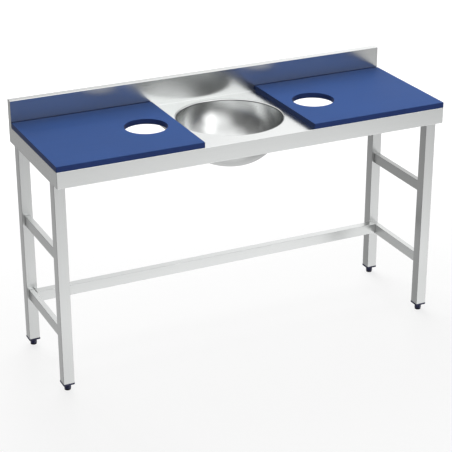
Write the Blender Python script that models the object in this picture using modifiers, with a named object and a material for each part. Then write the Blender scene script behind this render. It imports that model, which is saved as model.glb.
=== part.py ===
"""Stainless sink table with a round bowl, two lift-off boards over waste holes and adjustable feet.

Metres, +Z up. X runs along the table, -Y is the front. The origin is on the floor, under the middle of the top.
"""

from math import cos, pi, radians, sin, sqrt

import bmesh
import bpy
from mathutils import Matrix, Vector

# Overall sizes
table_length = 1.500
work_height = 0.850
seat_gap = 0.0003

# Folded sheet of the worktop
sheet = 0.0015
bend_radius = 0.0018
apron_height = 0.060
front_return = 0.015
return_height = 0.100
splash_depth = 0.028
splash_lip = 0.020

# Boards and the waste holes under them
board_from_collar = 0.0025
board_thickness = 0.020
board_edge = 0.0015
board_back_gap = 0.005
board_hole_radius = 0.0775
board_hole_inset = 0.1205
waste_cut_width = 0.170
waste_cut_corner = 0.020
waste_cut_steps = 4
peg_radius = 0.006
peg_height = 0.008
peg_inset = 0.060
peg_chamfer = 0.0015
peg_clearance = 0.0005
socket_spare_depth = 0.002

# Bowl
bowl_radius = 0.195
bowl_depth = 0.168
bowl_land = 0.040
bowl_wall = 0.0012
bowl_flange = 0.008
bowl_collar_land = 0.0155
bowl_from_splash = 0.0295
bowl_from_front = 0.0575

# Drain
tail_radius = 0.020
tail_wall = 0.003
tail_length = 0.020
drain_flange_radius = 0.035
drain_flange = 0.002
bowl_hole_clearance = 0.0015
gasket_thickness = 0.002
gasket_radius = 0.033
lock_nut_width = 0.060
lock_nut_height = 0.010
lock_nut_edge = 0.001
strainer_radius = 0.0235
strainer_plate = 0.0012
strainer_hole_radius = 0.0025
strainer_hole_circle = 0.0105
strainer_holes = 8
knob_radius = 0.004
knob_flat_radius = 0.0032
knob_height = 0.011

# Hat stiffeners under the worktop
hat_sheet = 0.0012
hat_width = 0.034
hat_crown = 0.016
hat_height = 0.022
hat_end_gap = 0.004

# End frames and the rear stretcher
leg_width = 0.040
tube_wall = 0.0015
tube_radius = 0.0012
leg_from_front = 0.042
leg_from_back = 0.047
rail_height = 0.040
rail_width = 0.020
middle_rail_centre = 0.512
lower_rail_centre = 0.214
stretcher_depth = 0.030
stretcher_rise = 0.002

# Studs and nuts that hold the top to the frames
frame_stud_radius = 0.004
frame_stud_inset = 0.060
frame_hole_clearance = 0.0005
frame_nut_width = 0.013
frame_nut_height = 0.008
frame_stud_showing = 0.003

# Adjustable feet
plug_lip = 0.006
plug_overhang = 0.0012
plug_edge = 0.0008
plug_body = 0.025
plug_body_edge = 0.002
insert_radius = 0.008
insert_length = 0.020
foot_stud_radius = 0.005
foot_stud_chamfer = 0.001
foot_stud_sunk = 0.012
foot_hex_width = 0.022
foot_hex_height = 0.019
foot_hex_edge = 0.001
foot_travel = 0.020
foot_thread_kept = 0.021
sole_radius = 0.0115
sole_thickness = 0.005
sole_edge = 0.001
spigot_radius = 0.004
spigot_height = 0.005

# Facets and edges
rim_steps = 56
hole_steps = 40
drain_steps = 24
sole_steps = 16
small_steps = 12
perforation_sides = 6
bowl_rings = 9
bend_segments = 2
bevel_limit = radians(40)
smooth_limit = radians(35)
merge_distance = 0.00001

# Places worked out from the sizes
bowl_collar_width = 2 * (bowl_radius + bowl_collar_land)
bare_middle = bowl_collar_width + 2 * board_from_collar
table_depth = bowl_from_front + 2 * bowl_radius + bowl_from_splash + splash_depth
front = -table_depth / 2
back = table_depth / 2
end = table_length / 2
splash_front = back - splash_depth
splash_top = work_height + return_height
sheet_half = end - sheet - seat_gap
underside = work_height - sheet
apron_bottom = work_height - apron_height
frame_top = underside - seat_gap
board_inner = bare_middle / 2
board_length = end - board_inner
board_bottom = work_height + seat_gap
board_depth = splash_front - board_back_gap - front
board_middle = front + board_depth / 2
waste_x = board_inner + board_hole_inset
bowl_y = splash_front - bowl_from_splash - bowl_radius
bowl_bottom = work_height - bowl_depth
leg_x = end - sheet - seat_gap - leg_width / 2
leg_front_y = front + leg_from_front + leg_width / 2
leg_back_y = back - leg_from_back - leg_width / 2
rail_front = leg_front_y + leg_width / 2 + seat_gap
rail_back = leg_back_y - leg_width / 2 - seat_gap
hex_bottom = sole_thickness + seat_gap
hex_top = hex_bottom + foot_hex_height
lip_bottom = hex_top + seat_gap
leg_bottom = lip_bottom + plug_lip + seat_gap


def clear_scene():
    for old in list(bpy.data.objects):
        bpy.data.objects.remove(old, do_unlink=True)


def new_collection(name):
    made = bpy.data.collections.new(name)
    bpy.context.scene.collection.children.link(made)
    return made


def new_material(name, colour, roughness, metallic):
    made = bpy.data.materials.new(name)
    made.use_nodes = True
    shader = made.node_tree.nodes["Principled BSDF"]
    shader.inputs["Base Color"].default_value = (*colour, 1.0)
    shader.inputs["Roughness"].default_value = roughness
    shader.inputs["Metallic"].default_value = metallic
    made.diffuse_color = (*colour, 1.0)
    return made


clear_scene()
table = new_collection("sink_table")
cutters = new_collection("cutters")
cutters.hide_render = True

satin_steel = new_material("satin_steel", (0.63, 0.63, 0.62), 0.28, 1.0)
tube_steel = new_material("tube_steel", (0.60, 0.60, 0.60), 0.34, 1.0)
bright_steel = new_material("bright_steel", (0.72, 0.72, 0.71), 0.18, 1.0)
zinc = new_material("zinc", (0.55, 0.56, 0.58), 0.35, 1.0)
blue_board = new_material("blue_board", (0.055, 0.115, 0.32), 0.45, 0.0)
navy_plastic = new_material("navy_plastic", (0.012, 0.016, 0.075), 0.40, 0.0)
black_rubber = new_material("black_rubber", (0.015, 0.015, 0.018), 0.75, 0.0)


def place(name, mesh, material, at=(0, 0, 0), parent=None):
    """Adds a piece of the table, with its origin at the given point."""
    piece = bpy.data.objects.new(name, mesh)
    mesh.materials.append(material)
    table.objects.link(piece)
    piece.location = at
    if parent:
        piece.parent = parent
        piece.location = Vector(at) - parent.location
    return piece


def joint_empty(name, at):
    """An empty on a joint's axis, which carries the pieces that move with it."""
    empty = bpy.data.objects.new(name, None)
    empty.location = at
    table.objects.link(empty)
    return empty


def box_mesh(size, name="box"):
    shape = bmesh.new()
    bmesh.ops.create_cube(shape, size=1.0)
    bmesh.ops.scale(shape, vec=size, verts=shape.verts)
    mesh = bpy.data.meshes.new(name)
    shape.to_mesh(mesh)
    shape.free()
    return mesh


def prism_mesh(radius, height, sides, name="prism"):
    """A cylinder or hexagon, standing on the origin."""
    shape = bmesh.new()
    lift = Matrix.Translation((0, 0, height / 2))
    bmesh.ops.create_cone(
        shape, cap_ends=True, segments=sides, radius1=radius, radius2=radius, depth=height, matrix=lift
    )
    mesh = bpy.data.meshes.new(name)
    shape.to_mesh(mesh)
    shape.free()
    return mesh


def rounded_slab_mesh(width, thickness, corner, steps, name="slab"):
    """A square slab about the origin, with its upright edges rounded."""
    shape = bmesh.new()
    bmesh.ops.create_cube(shape, size=1.0)
    bmesh.ops.scale(shape, vec=(width, width, thickness), verts=shape.verts)
    upright = [edge for edge in shape.edges if abs(edge.verts[0].co.z - edge.verts[1].co.z) > thickness / 2]
    bmesh.ops.bevel(shape, geom=upright, offset=corner, segments=steps, profile=0.5, affect="EDGES")
    mesh = bpy.data.meshes.new(name)
    shape.to_mesh(mesh)
    shape.free()
    return mesh


def bevel(piece, width, segments=2):
    rounding = piece.modifiers.new("edges", "BEVEL")
    rounding.width = width
    rounding.segments = segments
    rounding.limit_method = "ANGLE"
    rounding.angle_limit = bevel_limit
    return rounding


def solidify(piece, thickness):
    """Gives a sheet its thickness on the side that its faces turn away from."""
    wall = piece.modifiers.new("thickness", "SOLIDIFY")
    wall.thickness = thickness
    wall.offset = -1.0
    wall.use_even_offset = True
    return wall


def turn(piece, steps):
    """Spins a profile in the XZ plane about its object's Z axis."""
    screw = piece.modifiers.new("turned", "SCREW")
    screw.axis = "Z"
    screw.angle = 2 * pi
    screw.steps = steps
    screw.render_steps = steps
    screw.use_merge_vertices = True
    screw.merge_threshold = merge_distance
    screw.use_smooth_shade = True
    return screw


def profile_mesh(points, closed, name="profile"):
    """A line of (radius, height) points, for turn."""
    shape = bmesh.new()
    corners = [shape.verts.new((radius, 0, height)) for radius, height in points]
    for first, second in zip(corners, corners[1:]):
        shape.edges.new((first, second))
    if closed:
        shape.edges.new((corners[-1], corners[0]))
    mesh = bpy.data.meshes.new(name)
    shape.to_mesh(mesh)
    shape.free()
    return mesh


def turned(name, points, closed, steps, material, at=(0, 0, 0), parent=None):
    piece = place(name, profile_mesh(points, closed), material, at, parent)
    turn(piece, steps)
    return piece


def add_cutter(name, mesh, at=(0, 0, 0)):
    tool = bpy.data.objects.new(name, mesh)
    cutters.objects.link(tool)
    tool.location = at
    tool.hide_render = True
    tool.display_type = "WIRE"
    return tool


def combine(piece, other, operation):
    step = piece.modifiers.new(other.name, "BOOLEAN")
    step.operation = operation
    step.solver = "EXACT"
    step.object = other


def cut(piece, tool):
    combine(piece, tool, "DIFFERENCE")


def folded_strip(path, across, start, stop, outside, name="strip"):
    """An open sheet: a path of (across, z) corners, swept along the other level axis.

    `across` is the axis, 0 or 1, that the path's first numbers lie on.
    `outside` is the way that its first panel faces.
    """
    along = 1 - across
    shape = bmesh.new()

    def corner(level, z):
        point = [0.0, 0.0, z]
        point[across] = level
        point[along] = start
        return shape.verts.new(point)

    corners = [corner(level, z) for level, z in path]
    folds = [shape.edges.new(pair) for pair in zip(corners, corners[1:])]
    made = bmesh.ops.extrude_edge_only(shape, edges=folds)["geom"]
    move = Vector((0, 0, 0))
    move[along] = stop - start
    bmesh.ops.translate(shape, vec=move, verts=[v for v in made if isinstance(v, bmesh.types.BMVert)])
    shape.faces.ensure_lookup_table()
    shape.normal_update()
    first = min(shape.faces, key=lambda face: (face.calc_center_median() - corners[0].co).length)
    if first.normal.dot(Vector(outside)) < 0:
        bmesh.ops.reverse_faces(shape, faces=shape.faces)
    mesh = bpy.data.meshes.new(name)
    shape.to_mesh(mesh)
    shape.free()
    return mesh


def open_box_mesh(size, open_axis, name="tube"):
    """A box without its two end faces."""
    shape = bmesh.new()
    bmesh.ops.create_cube(shape, size=1.0)
    bmesh.ops.scale(shape, vec=size, verts=shape.verts)
    shape.normal_update()
    ends = [face for face in shape.faces if abs(face.normal[open_axis]) > 0.5]
    bmesh.ops.delete(shape, geom=ends, context="FACES_ONLY")
    mesh = bpy.data.meshes.new(name)
    shape.to_mesh(mesh)
    shape.free()
    return mesh


def tube(name, low, high, open_axis):
    """A square tube between two corners, open at both ends."""
    low, high = Vector(low), Vector(high)
    piece = place(name, open_box_mesh(high - low, open_axis), tube_steel, (low + high) / 2)
    bevel(piece, tube_radius)
    solidify(piece, tube_wall)
    return piece


def hex_radius(width):
    """The corner radius of a hexagon that is `width` across its flats."""
    return width / sqrt(3)


def round_shading(piece):
    piece.data.shade_smooth()
    piece.data.set_sharp_from_angle(angle=smooth_limit)


def build_worktop():
    """The folded sheet: front return, apron, and top with its three openings."""
    path = [
        (front + front_return, apron_bottom),
        (front, apron_bottom),
        (front, work_height),
        (splash_front + sheet, work_height),
    ]
    top = place("worktop", folded_strip(path, 1, -sheet_half, sheet_half, (0, 0, -1)), satin_steel)
    bevel(top, bend_radius, bend_segments)
    solidify(top, sheet)
    reach = 4 * sheet
    middle = work_height - sheet / 2
    opening = bowl_collar_width + 2 * seat_gap
    cut(top, add_cutter("collar_opening_cutter", box_mesh((opening, opening, reach)), (0, bowl_y, middle)))
    for side, x in (("left", -waste_x), ("right", waste_x)):
        hole = rounded_slab_mesh(waste_cut_width, reach, waste_cut_corner, waste_cut_steps)
        cut(top, add_cutter(f"waste_cut_cutter_{side}", hole, (x, board_middle, middle)))


def build_splashback():
    """The upright plate at the back, welded between the top's back edge and the cap."""
    low = work_height + seat_gap
    high = splash_top - sheet - seat_gap
    at = (0, splash_front + sheet / 2, (low + high) / 2)
    place("splashback", box_mesh((2 * sheet_half, sheet, high - low)), satin_steel, at)


def build_splash_cap():
    """The angle that closes the top of the splashback, with its lip against the wall."""
    path = [(splash_front, splash_top), (back, splash_top), (back, splash_top - splash_lip)]
    cap = place("splash_cap", folded_strip(path, 1, -sheet_half, sheet_half, (0, 0, 1)), satin_steel)
    bevel(cap, bend_radius, bend_segments)
    solidify(cap, sheet)


def build_end_panel(side, x):
    """The welded end plate, which closes the apron and the end of the splashback."""
    outline = [
        (front, apron_bottom),
        (back, apron_bottom),
        (back, splash_top),
        (splash_front, splash_top),
        (splash_front, work_height),
        (front, work_height),
    ]
    shape = bmesh.new()
    corners = [shape.verts.new((0, y, z)) for y, z in outline]
    shape.faces.new(corners)
    rounded = [corners[0], corners[2], corners[3], corners[5]]
    bmesh.ops.bevel(
        shape, geom=rounded, offset=bend_radius, segments=2 * bend_segments, profile=0.5, affect="VERTICES"
    )
    shape.normal_update()
    if next(iter(shape.faces)).normal.x * x < 0:
        bmesh.ops.reverse_faces(shape, faces=shape.faces)
    mesh = bpy.data.meshes.new("end_panel")
    shape.to_mesh(mesh)
    shape.free()
    solidify(place(f"end_panel_{side}", mesh, satin_steel, (x, 0, 0)), sheet)


def build_bowl_collar():
    """The square plate round the bowl, which is welded flush into the top."""
    size = (bowl_collar_width, bowl_collar_width, sheet)
    collar = place("bowl_collar", box_mesh(size), satin_steel, (0, bowl_y, work_height - sheet / 2))
    hole = prism_mesh(bowl_radius, 3 * sheet, rim_steps)
    cut(collar, add_cutter("bowl_opening_cutter", hole, (0, bowl_y, underside - sheet)))


def bowl_side(radius, depth, edge_height):
    """Points down one face of the bowl, from the flange to the flat land at its bottom."""
    points = []
    for ring in range(bowl_rings + 1):
        angle = pi / 2 * ring / bowl_rings
        across = bowl_land + (radius - bowl_land) * cos(angle)
        points.append((across, min(work_height - depth * sin(angle), edge_height)))
    return points


def build_bowl():
    """The spun bowl, with a flange that is welded under the collar."""
    flange_top = frame_top
    flange_bottom = flange_top - bowl_wall
    outer = bowl_side(bowl_radius, bowl_depth, flange_bottom)
    inner = bowl_side(bowl_radius - bowl_wall, bowl_depth - bowl_wall, flange_top)
    hole = tail_radius + bowl_hole_clearance
    points = [(bowl_radius + bowl_flange, flange_top), (bowl_radius + bowl_flange, flange_bottom)]
    points += outer + [(hole, bowl_bottom), (hole, bowl_bottom + bowl_wall)]
    points += inner[::-1]
    turned("bowl", points, True, rim_steps, satin_steel, (0, bowl_y, 0))


def build_drain():
    """The waste fitting: flanged body, gasket, lock nut and the strainer that lifts out."""
    at = (0, bowl_y, 0)
    land = bowl_bottom + bowl_wall + seat_gap
    flange_top = land + drain_flange
    bore = tail_radius - tail_wall
    seat = flange_top - strainer_plate
    recess = strainer_radius + seat_gap
    tail_end = land - tail_length
    body = [
        (recess + (drain_flange_radius - recess) / 2, flange_top),
        (drain_flange_radius, land + drain_flange / 2),
        (drain_flange_radius, land),
        (tail_radius, land),
        (tail_radius, tail_end),
        (bore, tail_end),
        (bore, seat),
        (recess, seat),
        (recess, flange_top),
    ]
    turned("drain_body", body, True, drain_steps, bright_steel, at)

    gasket_top = bowl_bottom - seat_gap
    gasket_bottom = gasket_top - gasket_thickness
    hole = tail_radius + seat_gap
    ring = [
        (gasket_radius, gasket_top),
        (gasket_radius, gasket_bottom),
        (hole, gasket_bottom),
        (hole, gasket_top),
    ]
    turned("drain_gasket", ring, True, drain_steps, black_rubber, at)

    nut_bottom = gasket_bottom - seat_gap - lock_nut_height
    nut_mesh = prism_mesh(hex_radius(lock_nut_width), lock_nut_height, 6)
    nut = place("drain_lock_nut", nut_mesh, bright_steel, (0, bowl_y, nut_bottom))
    bevel(nut, lock_nut_edge)
    bore_mesh = prism_mesh(hole, 3 * lock_nut_height, drain_steps)
    cut(nut, add_cutter("lock_nut_cutter", bore_mesh, (0, bowl_y, nut_bottom - lock_nut_height)))

    plate_bottom = seat + seat_gap
    plate_top = plate_bottom + strainer_plate
    knob_top = plate_top + knob_height
    neck = knob_radius / 2
    strainer = [
        (0, knob_top),
        (knob_flat_radius, knob_top),
        (knob_radius, knob_top - knob_radius / 2),
        (neck, knob_top - knob_radius),
        (neck, plate_top + neck),
        (knob_radius, plate_top),
        (strainer_radius, plate_top),
        (strainer_radius, plate_bottom),
        (0, plate_bottom),
    ]
    lifter = joint_empty("strainer_lift", (0, bowl_y, plate_bottom))
    plate = turned("drain_strainer", strainer, False, drain_steps, bright_steel, at, lifter)
    for index in range(strainer_holes):
        angle = 2 * pi * (index + 0.5) / strainer_holes
        x = strainer_hole_circle * cos(angle)
        y = bowl_y + strainer_hole_circle * sin(angle)
        hole_mesh = prism_mesh(strainer_hole_radius, 3 * strainer_plate, perforation_sides)
        cut(plate, add_cutter(f"strainer_cutter_{index}", hole_mesh, (x, y, plate_bottom - strainer_plate)))


def peg_places(direction):
    """The two pegs under a board: near its outer end, one at the front and one at the back."""
    x = direction * (end - peg_inset)
    return (("front", x, front + peg_inset), ("back", x, front + board_depth - peg_inset))


def build_board(side, direction):
    """A lift-off board with its waste hole, and the pegs on the worktop that hold it in place."""
    x = direction * (end - board_length / 2)
    lifter = joint_empty(f"board_{side}_lift", (x, board_middle, board_bottom))
    centre = (x, board_middle, board_bottom + board_thickness / 2)
    size = (board_length, board_depth, board_thickness)
    board = place(f"board_{side}", box_mesh(size, "board"), blue_board, centre, lifter)
    bevel(board, board_edge)
    flare = board_hole_radius + board_edge
    top = board_bottom + board_thickness
    hole = [
        (0, top + board_edge),
        (flare + board_edge, top + board_edge),
        (board_hole_radius, top - board_edge),
        (board_hole_radius, board_bottom + board_edge),
        (flare + board_edge, board_bottom - board_edge),
        (0, board_bottom - board_edge),
    ]
    hole_at = (direction * waste_x, board_middle, 0)
    tool = add_cutter(f"board_hole_cutter_{side}", profile_mesh(hole, False), hole_at)
    turn(tool, hole_steps)
    cut(board, tool)
    for row, peg_x, y in peg_places(direction):
        top = board_bottom + peg_height
        outline = [
            (0, top),
            (peg_radius - peg_chamfer, top),
            (peg_radius, top - peg_chamfer),
            (peg_radius, board_bottom),
            (0, board_bottom),
        ]
        turned(f"board_peg_{side}_{row}", outline, False, small_steps, bright_steel, (peg_x, y, 0))
        socket = prism_mesh(peg_radius + peg_clearance, 2 * (peg_height + socket_spare_depth), small_steps)
        under = board_bottom - peg_height - socket_spare_depth
        cut(board, add_cutter(f"peg_socket_cutter_{side}_{row}", socket, (peg_x, y, under)))


def build_stiffener(name, x):
    """A hat section welded under the top, from front to back."""
    top = frame_top
    path = [
        (-hat_width / 2, top),
        (-hat_crown / 2, top),
        (-hat_crown / 2, top - hat_height),
        (hat_crown / 2, top - hat_height),
        (hat_crown / 2, top),
        (hat_width / 2, top),
    ]
    start = front + sheet + hat_end_gap
    stop = splash_front - hat_end_gap
    hat = place(name, folded_strip(path, 0, start, stop, (0, 0, 1)), satin_steel, (x, 0, 0))
    solidify(hat, hat_sheet)


def build_stiffeners():
    """One hat beside the bowl and one between the waste hole and the legs, on each side."""
    inner = (bowl_collar_width / 2 + waste_x - waste_cut_width / 2) / 2
    outer = (waste_x + waste_cut_width / 2 + leg_x - leg_width / 2) / 2
    for side, direction in (("left", -1), ("right", 1)):
        build_stiffener(f"stiffener_{side}_inner", direction * inner)
        build_stiffener(f"stiffener_{side}_outer", direction * outer)


def end_rail(name, x, centre):
    low = (x - rail_width / 2, rail_front, centre - rail_height / 2)
    high = (x + rail_width / 2, rail_back, centre + rail_height / 2)
    return tube(name, low, high, 1)


def build_end_frame(side, direction):
    """Two legs, the top rail that carries the worktop, and the middle and lower rails."""
    x = direction * leg_x
    for row, y in (("front", leg_front_y), ("back", leg_back_y)):
        low = (x - leg_width / 2, y - leg_width / 2, leg_bottom)
        high = (x + leg_width / 2, y + leg_width / 2, frame_top)
        tube(f"leg_{row}_{side}", low, high, 2)
    top_rail = end_rail(f"top_rail_{side}", x, frame_top - rail_height / 2)
    end_rail(f"middle_rail_{side}", x, middle_rail_centre)
    end_rail(f"lower_rail_{side}", x, lower_rail_centre)
    for row, y in (("front", rail_front + frame_stud_inset), ("back", rail_back - frame_stud_inset)):
        build_frame_fixing(f"{side}_{row}", x, y, top_rail)


def build_frame_fixing(place_name, x, y, rail):
    """A stud under the sheet, through the top rail, and its nut."""
    rail_bottom = frame_top - rail_height
    nut_bottom = rail_bottom - seat_gap - frame_nut_height
    stud_length = frame_top - nut_bottom + frame_stud_showing
    stud_mesh = prism_mesh(frame_stud_radius, stud_length, small_steps)
    stud = place(f"frame_stud_{place_name}", stud_mesh, zinc, (x, y, frame_top - stud_length))
    round_shading(stud)
    hole = prism_mesh(frame_stud_radius + frame_hole_clearance, 2 * rail_height, small_steps)
    cut(rail, add_cutter(f"frame_hole_cutter_{place_name}", hole, (x, y, rail_bottom - rail_height / 2)))
    nut_mesh = prism_mesh(hex_radius(frame_nut_width), frame_nut_height, 6)
    nut = place(f"frame_nut_{place_name}", nut_mesh, zinc, (x, y, nut_bottom))
    bore = prism_mesh(frame_stud_radius + seat_gap, 3 * frame_nut_height, small_steps)
    cut(nut, add_cutter(f"frame_nut_cutter_{place_name}", bore, (x, y, nut_bottom - frame_nut_height)))


def build_stretcher():
    """The rear stretcher, between the lower end rails and against the back legs."""
    half = leg_x - rail_width / 2 - seat_gap
    centre = lower_rail_centre + stretcher_rise
    low = (-half, rail_back - stretcher_depth, centre - rail_height / 2)
    high = (half, rail_back, centre + rail_height / 2)
    tube("rear_stretcher", low, high, 0)


def build_plug(place_name, x, y):
    """The plastic plug in the leg's end, with its lip below the tube and a bore for the threaded insert."""
    lip_width = leg_width + 2 * plug_overhang
    lip_size = (lip_width, lip_width, plug_lip)
    plug = place(f"leg_plug_{place_name}", box_mesh(lip_size), navy_plastic, (x, y, lip_bottom + plug_lip / 2))
    bevel(plug, plug_edge)
    inside = leg_width - 2 * tube_wall - 2 * seat_gap
    sunk = plug_lip / 2
    body_size = (inside, inside, plug_body + sunk)
    body_middle = leg_bottom + (plug_body - sunk) / 2
    body = add_cutter(f"plug_body_{place_name}", box_mesh(body_size), (x, y, body_middle))
    bevel(body, plug_body_edge)
    combine(plug, body, "UNION")
    shoulder = leg_bottom
    top = leg_bottom + plug_body
    bore = [
        (0, top + plug_lip),
        (insert_radius + seat_gap, top + plug_lip),
        (insert_radius + seat_gap, shoulder),
        (foot_stud_radius + seat_gap, shoulder),
        (foot_stud_radius + seat_gap, lip_bottom - plug_lip),
        (0, lip_bottom - plug_lip),
    ]
    tool = add_cutter(f"plug_bore_cutter_{place_name}", profile_mesh(bore, False), (x, y, 0))
    turn(tool, small_steps)
    cut(plug, tool)
    insert_bottom = shoulder + seat_gap
    insert_top = insert_bottom + insert_length
    thread = foot_stud_radius + seat_gap
    sleeve = [
        (insert_radius, insert_top),
        (insert_radius, insert_bottom),
        (thread, insert_bottom),
        (thread, insert_top),
    ]
    turned(f"threaded_insert_{place_name}", sleeve, True, small_steps, zinc, (x, y, 0))


def build_foot(place_name, x, y):
    """The screwed foot: a hexagon moulded on its stud, with a sole clipped into it."""
    height_joint = joint_empty(f"foot_{place_name}_height", (x, y, 0))

    hexagon_mesh = prism_mesh(hex_radius(foot_hex_width), foot_hex_height, 6)
    hexagon = place(f"foot_hex_{place_name}", hexagon_mesh, navy_plastic, (x, y, hex_bottom), height_joint)
    bevel(hexagon, foot_hex_edge)
    stud_bottom = hex_top - foot_stud_sunk + seat_gap
    stud_top = hex_top + foot_travel + plug_lip + foot_thread_kept
    stud = [
        (0, stud_top),
        (foot_stud_radius - foot_stud_chamfer, stud_top),
        (foot_stud_radius, stud_top - foot_stud_chamfer),
        (foot_stud_radius, stud_bottom),
        (0, stud_bottom),
    ]
    turned(f"foot_stud_{place_name}", stud, False, small_steps, zinc, (x, y, 0), height_joint)
    sockets = [
        ("stud", foot_stud_radius, hex_top - foot_stud_sunk, hex_top + foot_stud_sunk),
        ("spigot", spigot_radius, hex_bottom - spigot_height, hex_bottom + spigot_height),
    ]
    for what, radius, low, high in sockets:
        hole = prism_mesh(radius + seat_gap, high - low, small_steps)
        cut(hexagon, add_cutter(f"hex_{what}_cutter_{place_name}", hole, (x, y, low)))

    sole = [
        (0, sole_thickness + spigot_height),
        (spigot_radius, sole_thickness + spigot_height),
        (spigot_radius, sole_thickness),
        (sole_radius - sole_edge, sole_thickness),
        (sole_radius, sole_thickness - sole_edge),
        (sole_radius, sole_edge),
        (sole_radius - sole_edge, 0),
        (0, 0),
    ]
    turned(f"foot_sole_{place_name}", sole, False, sole_steps, black_rubber, (x, y, 0), height_joint)


def build_table():
    build_worktop()
    build_splashback()
    build_splash_cap()
    build_bowl_collar()
    build_bowl()
    build_drain()
    build_stiffeners()
    for side, direction in (("left", -1), ("right", 1)):
        build_end_panel(side, direction * end)
        build_board(side, direction)
        build_end_frame(side, direction)
        for row, y in (("front", leg_front_y), ("back", leg_back_y)):
            build_plug(f"{row}_{side}", direction * leg_x, y)
            build_foot(f"{row}_{side}", direction * leg_x, y)
    build_stretcher()


build_table()
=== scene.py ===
from math import cos, pi, radians, sin, sqrt

import bpy
from mathutils import Matrix, Vector


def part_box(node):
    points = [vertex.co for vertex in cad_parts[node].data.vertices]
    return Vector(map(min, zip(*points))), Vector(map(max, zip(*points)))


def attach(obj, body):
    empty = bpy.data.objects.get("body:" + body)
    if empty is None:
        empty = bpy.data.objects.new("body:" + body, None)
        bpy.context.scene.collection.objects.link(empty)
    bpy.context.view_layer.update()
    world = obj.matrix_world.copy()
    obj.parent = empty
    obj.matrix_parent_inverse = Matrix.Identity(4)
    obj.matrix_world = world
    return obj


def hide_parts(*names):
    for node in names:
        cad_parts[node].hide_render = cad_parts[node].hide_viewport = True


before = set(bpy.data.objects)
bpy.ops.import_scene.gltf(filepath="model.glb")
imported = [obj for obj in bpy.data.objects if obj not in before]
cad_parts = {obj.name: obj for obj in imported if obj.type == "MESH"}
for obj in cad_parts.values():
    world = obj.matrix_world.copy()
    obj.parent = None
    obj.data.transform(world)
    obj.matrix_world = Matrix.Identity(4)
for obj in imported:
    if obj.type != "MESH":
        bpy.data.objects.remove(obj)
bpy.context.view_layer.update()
print("frame loaded,", len(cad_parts), "parts")


# Shader nodes
class Wire:  # an output of a shader node, which can be used in sums
    def __init__(self, finish, socket):
        self.finish = finish
        self.socket = socket

    def work(self, operation, first, second):
        return self.finish.node("ShaderNodeMath", {"operation": operation}, {0: first, 1: second})

    def __add__(self, other):
        return self.work("ADD", self, other)

    def __radd__(self, other):
        return self.work("ADD", other, self)

    def __sub__(self, other):
        return self.work("SUBTRACT", self, other)

    def __rsub__(self, other):
        return self.work("SUBTRACT", other, self)

    def __mul__(self, other):
        return self.work("MULTIPLY", self, other)

    def __rmul__(self, other):
        return self.work("MULTIPLY", other, self)


class Finish:  # a node tree that is being wired up
    def __init__(self, tree):
        self.tree = tree

    def node(self, kind, settings=None, inputs=None, output=0):
        made = self.tree.nodes.new(kind)
        for key, value in (settings or {}).items():
            setattr(made, key, value)
        for key, value in (inputs or {}).items():
            if isinstance(value, Wire):
                self.tree.links.new(value.socket, made.inputs[key])
            else:
                made.inputs[key].default_value = value
        return Wire(self, made.outputs[output])

    def place(self):
        return self.node("ShaderNodeTexCoord", output="Object")

    def noise(self, repeats, detail, roughness, start=None):
        where = self.node("ShaderNodeMapping", {}, {"Vector": start or self.place(), "Scale": repeats})
        inputs = {"Vector": where, "Scale": 1.0, "Detail": detail, "Roughness": roughness}
        return self.node("ShaderNodeTexNoise", {}, inputs)

    def ramp(self, value, low, high, start=0.0, stop=1.0):  # a soft step from start to stop
        inputs = {"Value": value, "From Min": low, "From Max": high, "To Min": start, "To Max": stop}
        return self.node("ShaderNodeMapRange", {"interpolation_type": "SMOOTHSTEP"}, inputs)

    def tint(self, amount, first, second):
        inputs = {0: amount, 6: (*first, 1), 7: (*second, 1)}
        return self.node("ShaderNodeMix", {"data_type": "RGBA"}, inputs, 2)

    def feed(self, socket, wire):
        self.tree.links.new(wire.socket, self.shader.inputs[socket])

    def emboss(self, height, strength, distance):
        inputs = {"Height": height, "Strength": strength, "Distance": distance}
        self.feed("Normal", self.node("ShaderNodeBump", {}, inputs))


def newFinish(name, colour, roughness, metallic):
    material = bpy.data.materials.new(name)
    material.use_nodes = True
    finish = Finish(material.node_tree)
    finish.material = material
    finish.shader = material.node_tree.nodes["Principled BSDF"]
    finish.shader.inputs["Base Color"].default_value = (*colour, 1)
    finish.shader.inputs["Roughness"].default_value = roughness
    finish.shader.inputs["Metallic"].default_value = metallic
    return finish


def shades(colour, spread):  # a darker and a lighter one
    return [tuple(min(1.0, part * (1 + way * spread)) for part in colour) for way in (-1, 1)]


def waver(middle, *swings):  # a value that each pattern moves up and down by its swing
    for pattern, swing in swings:
        middle = middle + swing * (pattern - 0.5)
    return middle


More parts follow.
